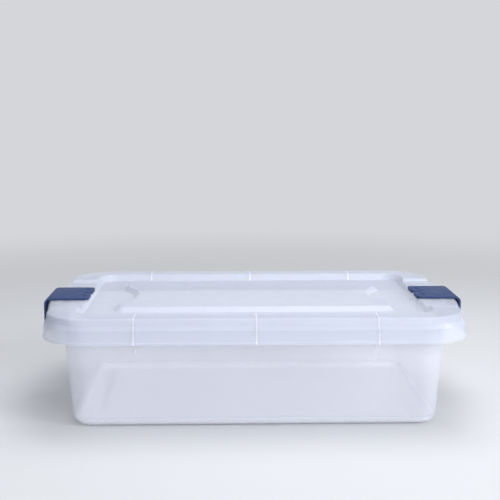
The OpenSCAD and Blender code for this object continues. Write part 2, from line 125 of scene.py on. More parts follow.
class TubSizes(PropertyGroup):
    """Sizes of the open tub."""

    wall: size("Wall", 2, "Thickness of the walls, base and rim")
    lean: FloatProperty(name="Lean", description="Outward lean of the walls",
                        default=math.radians(5), subtype="ANGLE", unit="ROTATION")
    rim_level: size("Rim level", TUB_TOP / MM, "Height of the rim's top")
    overhang: size("Overhang", 28, "How far the walls' tops lie inside the lid's lip")
    foot_round: size("Foot rounding", 20, "Radius where the walls meet the base, outside")
    rim_bend: size("Rim bend", 3, "Radius under the rim where it leaves the wall")
    rim_round: size("Rim rounding", 4, "Outer radius of the rim's edge")
    apron_inset: size("Apron inset", 10.5, "How far the rim's apron lies inside the lid's lip")
    apron_level: size("Apron level", 132, "Height of the apron's lower edge")
    ring_width: size("Ring width", 16, "Width of the flat ring that the tub stands on")
    ring_corner: size("Ring corner", 12, "Corner radius of the lifted middle of the base")
    lift: size("Base lift", 1.5, "How far the middle of the base is lifted")
    gusset: size("Gusset", 2.4, "Thickness of the webs under the rim")
    gusset_level: size("Gusset level", 114, "Height where a web runs out into the wall")
    bracket: size("Bracket", 112, "Width of the plate that carries a hinge")
    pin: size("Pin radius", 2.5, "Radius of the pins that the latches turn on")
    lug: size("Lug radius", 4.5, "Outer radius of the lugs that hold a pin")


class LidSizes(PropertyGroup):
    """Sizes of the lid."""

    wall: size("Wall", 2.2, "Thickness of the lid")
    skirt: size("Skirt", 36, "Height of the skirt")
    edge_inset: size("Edge inset", 6.5, "How far the top edge lies inside the lip")
    edge_round: size("Edge rounding", 3, "Radius of the top edge")
    upper_band: size("Upper band", 9.5, "Height of the skirt's upper band, with the edge")
    shoulder: size("Shoulder", 6.5, "Height of the sloped shoulder")
    shoulder_out: size("Shoulder out", 3.5, "How far the shoulder slopes out")
    band_lean: size("Band lean", 1, "How far each band leans out on its way down")
    lip: size("Lip", 3, "Height of the lip at the foot of the skirt")
    bow_out: size("Bow", LID_HIGH.x / MM - LIP_LENGTH_MM / 2, "How far the ends bow out past the lip")
    bow_radius: size("Bow radius", 560, "Radius of the bowed ends, seen from above")
    bow_round: size("Bow rounding", 5, "Radius of the bowed ends' top edge")
    end_border: size("End border", 46.5, "Width of the border at the latches")
    side_border: size("Side border", 40, "Width of the border along the sides")
    recess_depth: size("Recess depth", 10, "Depth of the stacking recess")
    recess_run: size("Recess run", 8, "How far the recess walls slope in")
    recess_corner: size("Recess corner", 32, "Corner radius of the recess at the border")
    saddle_depth: size("Saddle depth", 4, "How far the border is lowered under a latch")
    saddle_half: size("Saddle half", 110, "Half the length of a saddle's flat")
    plaque_length: size("Plaque length", 408, "Length of the raised plaque at its foot")
    plaque_width: size("Plaque width", 216, "Width of the raised plaque at its foot")
    plaque_height: size("Plaque height", 7, "Height of the plaque above the recess floor")
    plaque_corner: size("Plaque corner", 16, "Corner radius of the plaque at its foot")
    scoop_half: size("Scoop half", 59.4, "Half the width of the scoops in the plaque's ends")
    scoop_depth: size("Scoop depth", 22, "Depth of the scoops in the plaque's ends")
    rib: size("Rib", 3, "Thickness of the ribs inside the skirt")
    gate_x: size("Gate place", 132.6, "Distance of the gate marks from the middle")


class LatchSizes(PropertyGroup):
    """Sizes of a latch."""

    width: size("Width", (LATCH_HIGH.y - LATCH_LOW.y) / MM, "Width of a latch")
    wall: size("Wall", 3.4, "Thickness of the plate and the arm")
    bend: size("Bend", 9, "Outer radius between plate and arm")
    plate_gap: size("Plate gap", 0.3, "Room between the plate and the saddle")
    tip_x: size("Tip place", 247.88, "Distance of the finger tips from the middle of the box")
    finger_gap: size("Finger gap", 8, "Width of the gap between the two fingers")
    finger_depth: size("Finger depth", 14, "Depth of the gap between the two fingers")
    finger_round: size("Finger rounding", 6, "Corner radius of the fingers")
    edge_round: size("Edge rounding", 0.9, "Radius of the plate's and the arm's edges")
    dimple: size("Dimple radius", 8, "Radius of the ball that scoops the dimples")
    dimple_depth: size("Dimple depth", 1.5, "Depth of the dimples")
    dimple_length: size("Dimple length", 12, "Straight length of the dimples")
    barrel: size("Barrel radius", 5.55, "Outer radius of the hinge barrels")
    bore: size("Bore radius", 2.55, "Radius of the barrels' bore")
    slot: size("Slot", 4.2, "Width of the barrels' slot")
    barrel_in: size("Barrel start", 8.4, "Where a barrel starts, from the middle")
    barrel_out: size("Barrel end", 39.6, "Where a barrel ends, from the middle")


class BoxColours(PropertyGroup):
    """Colours of the box and of the stage."""

    tub: colour("Tub", (0.74, 0.765, 0.86), "Milky plastic of the tub")
    lid: colour("Lid", (0.58, 0.62, 0.725), "Milky plastic of the lid")
    latch: colour("Latch", (0.036, 0.056, 0.138), "Slate blue plastic of the latches")
    floor: colour("Floor", (0.54, 0.55, 0.57), "Floor under the box")
    backdrop: colour("Backdrop", (0.66, 0.67, 0.69), "What the floor fades into far away")


class StorageBox(PropertyGroup):
    """All that a user would change on the box."""

    box: PointerProperty(type=BoxSizes)
    tub: PointerProperty(type=TubSizes)
    lid: PointerProperty(type=LidSizes)
    latch: PointerProperty(type=LatchSizes)
    colours: PointerProperty(type=BoxColours)


def place(tree, kind, values=None, **settings):
    """Adds a node, with its settings and with inputs that are values or other nodes' outputs."""
    node = tree.nodes.new(kind)
    for key, value in settings.items():
        setattr(node, key, value)
    for key, value in (values or {}).items():
        if isinstance(value, bpy.types.NodeSocket):
            tree.links.new(value, node.inputs[key])
        else:
            node.inputs[key].default_value = value
    return node


def maths(tree, operation, *values, **settings):
    """The output of a maths node on values or other nodes' outputs."""
    node = place(tree, "ShaderNodeMath", dict(enumerate(values)), operation=operation, **settings)
    return node.outputs[0]


def ranged(tree, value, low, high, to_low=0.0, to_high=1.0, **settings):
    """The output of a node that maps a range of values onto another one, and stays inside it."""
    names = ("Value", "From Min", "From Max", "To Min", "To Max")
    values = dict(zip(names, (value, low, high, to_low, to_high)))
    return place(tree, "ShaderNodeMapRange", values, **settings).outputs[0]


def new_tree(name, kind, inputs, outputs):
    """A new node tree with inputs (name, type, default) and outputs (name, type), and what comes in."""
    tree = bpy.data.node_groups.new(name, kind)
    for label, sort, default in inputs:
        made = tree.interface.new_socket(label, in_out="INPUT", socket_type="NodeSocket" + sort)
        if default is not None:
            made.default_value = default
    for label, sort in outputs:
        tree.interface.new_socket(label, in_out="OUTPUT", socket_type="NodeSocket" + sort)
    return tree, tree.nodes.new("NodeGroupInput").outputs


def moulded_finish():
    """Shader group for injection moulded plastic: colour drift, haze in the gloss and a faint ripple.

    Where the plastic is denser, behind a rib, it is paler and less clear; the tub's base is painted the
    same way, as painted light on the floor inside.
    """
    tree = bpy.data.node_groups.get("Moulded Finish")
    if tree:
        return tree
    tree, given = new_tree("Moulded Finish", "ShaderNodeTree", [
        ("Place", "Vector", None), ("Colour", "Color", (0.8, 0.8, 0.8, 1)), ("Drift", "Float", 0.04),
        ("Least Roughness", "Float", 0.25), ("Most Roughness", "Float", 0.35),
        ("Ripple Scale", "Float", 20.0), ("Alpha", "Float", 1.0), ("Dense", "Float", 0.0),
    ], [("Colour", "Color"), ("Roughness", "Float"), ("Height", "Float"), ("Alpha", "Float")])
    spot = given["Place"]
    flow = place(tree, "ShaderNodeTexNoise", {"Vector": spot, "Scale": FLOW_SCALE, "Detail": 3.0})
    haze = place(tree, "ShaderNodeTexNoise", {"Vector": spot, "Scale": HAZE_SCALE, "Detail": 4.0})
    ripple = place(tree, "ShaderNodeTexNoise", {
        "Vector": spot, "Scale": given["Ripple Scale"], "Detail": 1.0})
    dip = maths(tree, "MULTIPLY", flow.outputs["Fac"], given["Drift"])
    tint = place(tree, "ShaderNodeVectorMath", {
        0: given["Colour"], "Scale": maths(tree, "SUBTRACT", 1.0, dip)}, operation="SCALE")
    gloss = ranged(tree, haze.outputs["Fac"], *HAZE_RANGE, given["Least Roughness"],
                   given["Most Roughness"])
    pale = place(tree, "ShaderNodeMix", {
        "Factor": given["Dense"], "A": tint.outputs[0], "B": DENSE_AND_PAINTED_LIGHT_TONE}, data_type="RGBA")
    solid = ranged(tree, given["Dense"], 0.0, 1.0, given["Alpha"], DENSE_AND_PAINTED_LIGHT_ALPHA)
    place(tree, "NodeGroupOutput", {
        "Colour": pale.outputs["Result"], "Roughness": gloss, "Height": ripple.outputs["Fac"],
        "Alpha": solid})
    return tree


def rib_lines_and_painted_base_light():
    """Shader group for paler plastic: lines where a rib backs a long side, and painted light on the
    tub's base that fades out upwards.
    """
    tree = bpy.data.node_groups.get("Rib Marks")
    if tree:
        return tree
    tree, given = new_tree("Rib Marks", "ShaderNodeTree", [
        ("Place", "Vector", None), ("Spacing", "Float", 0.15), ("Half Width", "Float", 0.001),
        ("From Y", "Float", 0.1), ("From Z", "Float", 0.0), ("Skip Middle", "Float", 0.0),
        ("Strength", "Float", 0.22), ("Base Strength", "Float", 0.0),
    ], [("Mask", "Float")])
    spot = place(tree, "ShaderNodeSeparateXYZ", {0: given["Place"]}).outputs
    along = maths(tree, "ABSOLUTE", spot["X"])
    off = maths(tree, "ABSOLUTE", maths(tree, "SUBTRACT", along, given["Spacing"]))
    near = maths(tree, "MINIMUM", off, maths(tree, "ADD", along, given["Skip Middle"]))
    twice = maths(tree, "MULTIPLY", given["Half Width"], 2.0)
    mask = ranged(tree, near, given["Half Width"], twice, 1.0, 0.0)
    side = maths(tree, "GREATER_THAN", maths(tree, "ABSOLUTE", spot["Y"]), given["From Y"])
    rise = ranged(tree, maths(tree, "SUBTRACT", spot["Z"], given["From Z"]), 0.0, RIB_FADE)
    for share in (side, rise, given["Strength"]):
        mask = maths(tree, "MULTIPLY", mask, share)
    # Painted light: the tub's base and the foot of its walls are painted paler and less clear, fading
    # out upwards.
    base = ranged(tree, spot["Z"], *BASE_PAINTED_LIGHT_FADE, given["Base Strength"], 0.0)
    place(tree, "NodeGroupOutput", {"Mask": maths(tree, "MAXIMUM", mask, base)})
    return tree


def plastic(name, tone, drift, gloss, ripple, depth, milky=None, marks=None, **shader):
    """A moulded plastic: its tone, colour drift, range of roughness, and its ripple's scale and depth.

    A milky one has an alpha, and marks where ribs back it; on the tub these also paint light on its
    base.
    """
    material = bpy.data.materials.new(name)
    material.use_nodes = True
    tree = material.node_tree
    principled = tree.nodes["Principled BSDF"]
    spot = place(tree, "ShaderNodeTexCoord").outputs["Object"]
    finish = place(tree, "ShaderNodeGroup", {
        "Place": spot, "Colour": (*tone, 1), "Drift": drift, "Least Roughness": gloss[0],
        "Most Roughness": gloss[1], "Ripple Scale": ripple}, node_tree=moulded_finish())
    bump = place(tree, "ShaderNodeBump", {
        "Strength": BUMP_STRENGTH, "Distance": depth, "Height": finish.outputs["Height"]})
    tree.links.new(finish.outputs["Colour"], principled.inputs["Base Color"])
    tree.links.new(finish.outputs["Roughness"], principled.inputs["Roughness"])
    tree.links.new(bump.outputs["Normal"], principled.inputs["Normal"])
    if milky:
        finish.inputs["Alpha"].default_value = milky
        tree.links.new(finish.outputs["Alpha"], principled.inputs["Alpha"])
    if marks:
        lines = place(tree, "ShaderNodeGroup", {"Place": spot, **marks}, node_tree=rib_lines_and_painted_base_light())
        tree.links.new(lines.outputs["Mask"], finish.inputs["Dense"])
    for key, value in shader.items():
        principled.inputs[key.replace("_", " ")].default_value = value
    material.diffuse_color = (*tone, 1)
    return material


def rounded_line(corners, steps=5, closed=False):
    """Points along a bent line, with each corner (across, up, radius) turned into an arc."""
    points = []
    count = len(corners)
    for i, (across, up, radius) in enumerate(corners):
        here = Vector((across, up))
        if radius == 0 or (not closed and i in (0, count - 1)):
            points.append(here)
            continue
        back = (Vector(corners[i - 1][:2]) - here).normalized()
        on = (Vector(corners[(i + 1) % count][:2]) - here).normalized()
        half = back.angle(on) / 2
        centre = here + (back + on).normalized() * radius / math.sin(half)
        spoke = here + back * radius / math.tan(half) - centre
        turn = math.pi - 2 * half
        if back.x * on.y - back.y * on.x > 0:
            turn = -turn
        for k in range(steps + 1):
            points.append(centre + Matrix.Rotation(turn * k / steps, 2) @ spoke)
    return [p for i, p in enumerate(points) if i == 0 or (p - points[i - 1]).length > MERGE]


def circle(across, up, radius, count=48):
    """Points round a circle."""
    angles = [2 * math.pi * k / count for k in range(count)]
    return [Vector((across + radius * math.cos(a), up + radius * math.sin(a))) for a in angles]


def inset_loop(loop, amount):
    """A closed loop of flat points, anticlockwise, moved in by an amount."""
    moved = []
    for i, point in enumerate(loop):
        back = (point - loop[i - 1]).normalized()
        on = (loop[(i + 1) % len(loop)] - point).normalized()
        along = (back + on).normalized()
        share = max(along.dot(on), 0.5)
        moved.append(point + Vector((-along.y, along.x)) * amount / share)
    return moved


def linked(name, data):
    """A new object in the scene."""
    made = bpy.data.objects.new(name, data)
    bpy.context.scene.collection.objects.link(made)
    return made


def maker(bm, name):
    """A working object with a bmesh's mesh."""
    mesh = bpy.data.meshes.new(name)
    bm.to_mesh(mesh)
    bm.free()
    return linked(name, mesh)


def plain_mesh(made, name):
    """The mesh that a working object's modifiers give. The object is removed."""
    graph = bpy.context.evaluated_depsgraph_get()
    mesh = bpy.data.meshes.new_from_object(made.evaluated_get(graph))
    mesh.name = name
    made.modifiers.clear()
    bpy.data.objects.remove(made)
    return mesh


def prism(outline, low, high, turn, name, edge=0.0):
    """A working object: an outline of flat points drawn out from low to high, with rounded edges."""
    bm = bmesh.new()
    ends = [[bm.verts.new(turn @ Vector((x, y, level))) for x, y in outline] for level in (low, high)]
    count = len(outline)
    bm.faces.new(ends[0])
    bm.faces.new(ends[1])
    for i in range(count):
        k = (i + 1) % count
        bm.faces.new((ends[0][i], ends[0][k], ends[1][k], ends[1][i]))
    bmesh.ops.recalc_face_normals(bm, faces=bm.faces)
    if edge:
        sharp = [e for e in bm.edges if e.calc_face_angle(0) > SHARP_EDGE]
        bmesh.ops.bevel(bm, geom=sharp, offset=edge, segments=3, profile=0.5,
                        affect="EDGES", clamp_overlap=True)
    return maker(bm, name)


def fuse(base, others, operation="UNION"):
    """Joins working objects into the base one, or cuts them out of it, and removes them."""
    for other in others:
        join = base.modifiers.new(other.name, "BOOLEAN")
        join.operation = operation
        join.solver = "MANIFOLD"
        join.object = other
    name = base.name
    mesh = plain_mesh(base, name)
    for other in others:
        bpy.data.objects.remove(other)
    return linked(name, mesh)


def finished(made, name, body, material):
    """Turns a working object into a finished piece that rides on a body and stands for its node."""
    mesh = plain_mesh(made, name)
    bm = bmesh.new()
    bm.from_mesh(mesh)
    bmesh.ops.remove_doubles(bm, verts=bm.verts, dist=MERGE)
    open_edges = [e for e in bm.edges if not e.is_manifold]
    if open_edges:
        raise RuntimeError(f"{name} has {len(open_edges)} edges that don't close")
    if bm.calc_volume(signed=True) < 0:
        raise RuntimeError(f"{name} is inside out")
    bm.to_mesh(mesh)
    bm.free()
    mesh.materials.clear()
    mesh.materials.append(material)
    mesh.polygons.foreach_set("material_index", [0] * len(mesh.polygons))
    mesh.shade_smooth()
    mesh.set_sharp_from_angle(angle=SHARP_EDGE)
    piece = linked(name, mesh)
    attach(piece, body)
    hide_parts(body)


def hand_out(tree, made, material):
    """Ends a geometry tree: what a node made becomes real and gets a material."""
    real = place(tree, "GeometryNodeRealizeInstances", {"Geometry": made.outputs[0]})
    painted = place(tree, "GeometryNodeSetMaterial", {
        "Geometry": real.outputs[0], "Material": material})
    place(tree, "NodeGroupOutput", {"Geometry": painted.outputs[0]})


def sweep_tree():
    """Geometry nodes: a section drawn round a rectangle with rounded corners."""
    tree, given = new_tree("Swept Section", "GeometryNodeTree", [
        ("Geometry", "Geometry", None), ("Length", "Float", 0.48), ("Width", "Float", 0.3),
        ("Corner", "Float", 0.01), ("Corner Points", "Int", CORNER_STEPS),
        ("Material", "Material", None),
    ], [("Geometry", "Geometry")])
    path = place(tree, "GeometryNodeCurvePrimitiveQuadrilateral", {
        "Width": given["Length"], "Height": given["Width"]})
    bent = place(tree, "GeometryNodeFilletCurve", {
        "Curve": path.outputs[0], "Radius": given["Corner"], "Count": given["Corner Points"]},
        mode="POLY")
    section = place(tree, "GeometryNodeMeshToCurve", {"Mesh": given["Geometry"]})
    swept = place(tree, "GeometryNodeCurveToMesh", {
        "Curve": bent.outputs[0], "Profile Curve": section.outputs[0]})
    merged = place(tree, "GeometryNodeMergeByDistance", {
        "Geometry": swept.outputs[0], "Distance": MERGE})
    hand_out(tree, merged, given["Material"])
    return tree


def copies_tree():
    """Geometry nodes: copies of one web at the given points, each turned by the point's own angle."""
    tree = bpy.data.node_groups.get("Webs At Points")
    if tree:
        return tree
    tree, given = new_tree("Webs At Points", "GeometryNodeTree", [
        ("Geometry", "Geometry", None), ("Web", "Object", None), ("Material", "Material", None),
    ], [("Geometry", "Geometry")])
    web = place(tree, "GeometryNodeObjectInfo", {"Object": given["Web"]}, transform_space="ORIGINAL")
    angle = place(tree, "GeometryNodeInputNamedAttribute", {"Name": "turn"}, data_type="FLOAT")
    turn = place(tree, "ShaderNodeCombineXYZ", {"Z": angle.outputs["Attribute"]})
    spots = place(tree, "GeometryNodeMeshToPoints", {"Mesh": given["Geometry"]})
    copies = place(tree, "GeometryNodeInstanceOnPoints", {
        "Points": spots.outputs[0], "Instance": web.outputs["Geometry"], "Rotation": turn.outputs[0]})
    hand_out(tree, copies, given["Material"])
    return tree


def run_tree(made, tree, values):
    """Runs a geometry tree on a working object, with inputs by name, and gives a new working object."""
    modifier = made.modifiers.new(tree.name, "NODES")
    modifier.node_group = tree
    for item in tree.interface.items_tree:
        if item.item_type == "SOCKET" and item.in_out == "INPUT" and item.name in values:
            modifier[item.identifier] = values[item.name]
    name = made.name
    return linked(name, plain_mesh(made, name))


def webs(web, spots, material, name):
    """Copies of a web at spots (x, y, turn)."""
    mesh = bpy.data.meshes.new(name)
    mesh.from_pydata([(x, y, 0) for x, y, _ in spots], [], [])
    turns = mesh.attributes.new("turn", "FLOAT", "POINT")
    turns.data.foreach_set("value", [turn for _, _, turn in spots])
    result = run_tree(linked(name, mesh), copies_tree(), {"Web": web, "Material": material})
    bpy.data.objects.remove(web)
    return result


def corner_centre(box):
    """Where the centre of every rounded corner of the box lies, in X and in Y."""
    return box.length / 2 - box.corner, box.width / 2 - box.corner


def wall_line(box, tub):
    """Radius of the wall's outer face at floor level, and how much it grows with height."""
    grow = math.tan(tub.lean)
    return box.corner - tub.overhang - grow * tub.rim_level, grow


def tub_section(box, tub):
    """The tub's section from the base ring's underside, round the rim and back to its upper side."""
    foot, grow = wall_line(box, tub)
    thick = tub.wall / math.cos(tub.lean)
    under = tub.rim_level - tub.wall
    apron = box.corner - tub.apron_inset
    soft = 0.45 * tub.wall
    ring = foot - tub.foot_round / math.tan((math.pi / 2 + tub.lean) / 2)
    return ring, rounded_line([
        (ring, 0, 0),
        (foot, 0, tub.foot_round),
        (foot + grow * under, under, tub.rim_bend),
        (apron - tub.wall, under, tub.rim_round - tub.wall),
        (apron - tub.wall, tub.apron_level, soft),
        (apron, tub.apron_level, soft),
        (apron, tub.rim_level, tub.rim_round),
        (foot + grow * tub.rim_level - thick, tub.rim_level, tub.rim_bend + tub.wall),
        (foot + grow * tub.wall - thick, tub.wall, tub.foot_round - tub.wall),
        (ring, tub.wall, 0),
    ], 7)


def close_base(bm, level, half_x, half_y, corner, lift, run):
    """Closes the swept tub's open ring at one level with a floor whose middle is lifted."""
    edge = [e for e in bm.edges if e.is_boundary and abs(e.verts[0].co.z - level) < ON_LEVEL]
    count = len(edge) // 4
    rows = []
    for inset, up in ((0, 0), (run, lift)):
        row = []
        for sign_x, sign_y, start in ((1, 1, 0), (-1, 1, 1), (-1, -1, 2), (1, -1, 3)):
            for k in range(count):
                angle = math.pi / 2 * (start + k / (count - 1))
                radius = corner - inset
                row.append(bm.verts.new((
                    sign_x * (half_x - corner) + radius * math.cos(angle),
                    sign_y * (half_y - corner) + radius * math.sin(angle),
                    level + up)))
        rows.append(row)
    loops = [[bm.edges.new((row[i - 1], row[i])) for i in range(len(row))] for row in rows]
    bmesh.ops.bridge_loops(bm, edges=edge + loops[0])
    bmesh.ops.bridge_loops(bm, edges=loops[0] + loops[1])
    bm.faces.new(rows[1])


def hinge_bracket(box, tub, latch):
    """The plate under the apron at the +X end, with three lugs and the pin: working objects."""
    centre = corner_centre(box)[0]
    plate = centre + box.corner - tub.apron_inset - tub.wall
    low = PIN_Z - 7 * MM
    top = tub.apron_level + tub.wall
    half = tub.bracket / 2
    corner = 6 * MM
    outline = rounded_line(
        [(-half, low, corner), (half, low, corner), (half, top, 0), (-half, top, 0)], closed=True)
    parts = [prism(outline, plate, plate + tub.wall, ALONG_X, "bracket plate", edge=0.4 * MM)]
    lug = rounded_line([
        (plate + tub.wall / 2, PIN_Z - tub.lug, 0),
        (PIN_X + tub.lug, PIN_Z - tub.lug, tub.lug),
        (PIN_X + tub.lug, PIN_Z + tub.lug, tub.lug),
        (plate + tub.wall / 2, PIN_Z + tub.lug, 0),
    ], 10, closed=True)
    half = latch.width / 2
    end_lug = 6 * MM
    middle_lug = 16 * MM
    end = half - end_lug / 2
    edge = 0.3 * MM
    for y, wide in ((-end, end_lug), (0, middle_lug), (end, end_lug)):
        parts.append(prism(lug, y - wide / 2, y + wide / 2, ALONG_Y, "bracket lug", edge))
    parts.append(prism(circle(PIN_X, PIN_Z, tub.pin), -half, half, ALONG_Y, "bracket pin", edge))
    return parts


def turned_copy(made, name):
    """A copy of a working object for the opposite end of the box, with its mesh turned half round."""
    mesh = made.data.copy()
    mesh.transform(Matrix.Rotation(math.pi, 4, "Z"))
    return linked(name, mesh)


def make_tub(settings):
    """The open tub: swept walls and rim, closed base, webs under the rim and hinge brackets."""
    box, tub = settings.box, settings.tub
    # The base's marks are painted light: the tub's base is paler and less clear, fading out upwards.
    material = plastic("milky_tub_plastic", settings.colours.tub, drift=0.05, gloss=(0.34, 0.44),
                       ripple=16.0, depth=0.0003, milky=0.25, marks={
                           "Spacing": box.rib_x, "Half Width": tub.gusset / 4, "From Y": 100 * MM,
                           "From Z": tub.gusset_level - RIB_FADE, "Skip Middle": 1.0,
                           "Base Strength": 0.5},
                       Specular_IOR_Level=0.2, IOR=1.49)
    centre_x, centre_y = corner_centre(box)
    ring, section = tub_section(box, tub)
    mesh = bpy.data.meshes.new("tub section")
    mesh.from_pydata([(p.x - ring, -p.y, 0) for p in section],
                     [(i, i + 1) for i in range(len(section) - 1)], [])
    made = run_tree(linked("tub walls", mesh), sweep_tree(), {
        "Length": 2 * (centre_x + ring), "Width": 2 * (centre_y + ring), "Corner": ring,
        "Corner Points": CORNER_STEPS, "Material": material})
    bm = bmesh.new()
    bm.from_mesh(made.data)
    bpy.data.objects.remove(made)
    half_x = centre_x + ring - tub.ring_width
    half_y = centre_y + ring - tub.ring_width
    run = 0.5 * MM
    for level in (0, tub.wall):
        close_base(bm, level, half_x + level, half_y + level, tub.ring_corner + level, tub.lift, run)
    bmesh.ops.recalc_face_normals(bm, faces=bm.faces)
    shell = maker(bm, "tub walls")

    foot, grow = wall_line(box, tub)
    half = tub.wall / 2
    under = tub.rim_level - half
    apron = box.corner - tub.apron_inset - half
    gusset = prism([
        (foot + grow * under - half, under),
        (apron, under),
        (apron, tub.apron_level + tub.wall),
        (foot + grow * tub.gusset_level - half, tub.gusset_level),
    ], -tub.gusset / 2, tub.gusset / 2, ALONG_Y, "gusset", edge=0.3 * MM)
    beside = tub.bracket / 2 + 30 * MM
    spots = [(sign * box.rib_x, side * centre_y, side * math.pi / 2)
             for side in (-1, 1) for sign in (-1, 1)]
    spots += [(centre_x, sign * beside, 0) for sign in (-1, 1)]
    spots += [(-centre_x, sign * beside, math.pi) for sign in (-1, 1)]
    gussets = webs(gusset, spots, material, "gussets")

    bracket = hinge_bracket(box, tub, settings.latch)
    right = fuse(bracket[0], bracket[1:])
    left = turned_copy(right, "left bracket")
    shell = fuse(shell, [gussets, right, left])
    finished(shell, "tub_moulding", "tub", material)


def loop(half_x, half_y, corner, end_ys, side_share, end_x=None):
    """Flat points round a rounded rectangle, anticlockwise from the +X end, whose ends may curve."""
    end_x = end_x or (lambda y: half_x)
    straight = half_x - corner
    sides = [share * straight for share in side_share]
    points = [Vector((end_x(y), y)) for y in end_ys]

    def arc(sign_x, sign_y, start):
        middle = Vector((sign_x * (half_x - corner), sign_y * (half_y - corner)))
        for k in range(CORNER_STEPS + 1):
            angle = math.pi / 2 * (start + k / CORNER_STEPS)
            points.append(middle + corner * Vector((math.cos(angle), math.sin(angle))))

    arc(1, 1, 0)
    points.extend(Vector((x, half_y)) for x in reversed(sides))
    arc(-1, 1, 1)
    points.extend(Vector((-end_x(y), y)) for y in reversed(end_ys))
    arc(-1, -1, 2)
    points.extend(Vector((x, -half_y)) for x in sides)
    arc(1, -1, 3)
    return points


def mirrored(values):
    """A list from zero up, run through from its negative end."""
    return [-v for v in reversed(values[1:])] + list(values)


def soft_least(a, b, blend):
    """The smaller of two values, eased over into the other."""
    share = max(blend - abs(a - b), 0) / blend
    return min(a, b) - share * share * blend / 4


def bow_reach(box, lid, y, level):
    """How far out the lid's bowed end lies, at a place along the width and a level."""
    top = box.height - lid.saddle_depth
    if level > top + MERGE:
        return 0.0
    lip = box.height - lid.skirt + lid.lip
    flare = lip + lid.band_lean
    start = top - lid.bow_round
    past = min(max((start - level) / (start - flare), 0), 1) * lid.band_lean
    past += min(max((flare - level) / (flare - lip), 0), 1) * lid.band_lean
    if level > start:
        past = math.sqrt(max(lid.bow_round ** 2 - (level - start) ** 2, 0)) - lid.bow_round
    middle = box.length / 2 + lid.bow_out - 2 * lid.band_lean - lid.bow_radius
    return middle + math.sqrt((lid.bow_radius + past) ** 2 - y ** 2)


def lid_rows(box, lid):
    """Rows of points from the plaque's top out and down to the lip, and how many are the plaque's."""
    centre_x, centre_y = corner_centre(box)
    end_ys = mirrored([y * MM * lid.saddle_half / STEP_SADDLE for y in END_STEP])
    scoop_ys = mirrored([y * MM * lid.scoop_half / STEP_SCOOP for y in SCOOP_STEP])
    shares = mirrored([0, 0.2, 0.4, 0.6, 0.8])
    top = box.height
    floor = top - lid.recess_depth
    rows = []

    plaque_x, plaque_y = lid.plaque_length / 2, lid.plaque_width / 2
    scoop_r = (lid.scoop_half ** 2 + lid.scoop_depth ** 2) / (2 * lid.scoop_depth)
    rise = lid.plaque_height
    soft = 1.5 * MM
    for inset, up in rounded_line([
            (rise + 6 * MM, rise, 0), (rise, rise, soft), (0, 0, soft), (-5 * MM, 0, 0)], 4):
        half_x = plaque_x - inset
        radius = scoop_r + inset
        middle = plaque_x + scoop_r - lid.scoop_depth

        def scooped(y):
            if abs(y) >= radius:
                return half_x
            return soft_least(half_x, middle - math.sqrt(radius ** 2 - y ** 2), 3 * MM)

        flat = loop(half_x, plaque_y - inset, lid.plaque_corner - inset, scoop_ys, shares, scooped)
        rows.append([Vector((p.x, p.y, floor + up)) for p in flat])
    on_plaque = len(rows)

    recess_x = box.length / 2 - lid.end_border
    recess_y = box.width / 2 - lid.side_border
    edge = box.corner - lid.edge_inset
    band = top - lid.upper_band
    shoulder = band - lid.shoulder
    foot = box.height - lid.skirt
    lip = foot + lid.lip
    wide = edge + lid.band_lean
    chamfer = 0.4 * MM

    def recess_line(level):
        """The recess wall's section: how far in from the border's edge, and how high."""
        run = lid.recess_run * (top - level) / lid.recess_depth
        return rounded_line([
            (lid.recess_run + 5 * MM, floor, 0), (lid.recess_run, floor, 3 * MM),
            (run, level, 2.6 * MM), (run - 4 * MM, level, 0)], 5)

    def skirt_line(level):
        """The skirt's section: how far out from the corners' centres, and how high."""
        lean = lid.band_lean * (level - top + lid.edge_round) / (lid.upper_band - lid.edge_round)
        return rounded_line([
            (edge - 7 * MM, level, 0), (edge - lean, level, lid.edge_round * 0.99),
            (wide, band, 1.5 * MM), (wide + lid.shoulder_out, shoulder, 2 * MM),
            (box.corner - lid.band_lean, lip + lid.band_lean, 1 * MM), (box.corner, lip, 0.5 * MM),
            (box.corner, foot + chamfer, 0), (box.corner - chamfer, foot, 0)], 5)

    saddle_level = top - lid.saddle_depth
    steps = [(k - 2) * 0.5 * MM for k in range(5)]

    def saddle_share(y):
        """The share of the saddle's depth at a place along the width, as a mean over the steps."""
        inside = lid.saddle_half + lid.saddle_depth - abs(y)
        parts = [min(max((inside + step) / lid.saddle_depth, 0), 1) for step in steps]
        return sum(parts) / len(parts)

    on_end = [saddle_share(y) for y in end_ys]
    gap = CORNER_STEPS + 1
    blank = [0] * (2 * gap + len(shares))
    lowered = on_end + blank + on_end[::-1] + blank
    on_ends = [1] * len(end_ys) + [0] * len(blank) + [-1] * len(end_ys) + [0] * len(blank)

    def bowed(point, end):
        reach = bow_reach(box, lid, point.y, point.z) if end else 0
        if reach:
            point.x = -end * soft_least(-abs(point.x), -reach, 1.5 * MM)
        return point

    def add_rows(line, flat_loop, bow):
        for plain, low in zip(line(top), line(saddle_level)):
            row = []
            for a, b, share, end in zip(flat_loop(plain.x), flat_loop(low.x), lowered, on_ends):
                point = Vector((*a.lerp(b, share), plain.y + (low.y - plain.y) * share))
                row.append(bowed(point, end) if bow else point)
            rows.append(row)

    add_rows(recess_line, lambda inset: loop(
        recess_x - inset, recess_y - inset, lid.recess_corner - inset, end_ys, shares), False)
    add_rows(skirt_line, lambda radius: loop(
        centre_x + radius, centre_y + radius, radius, end_ys, shares), True)
    return rows, on_plaque


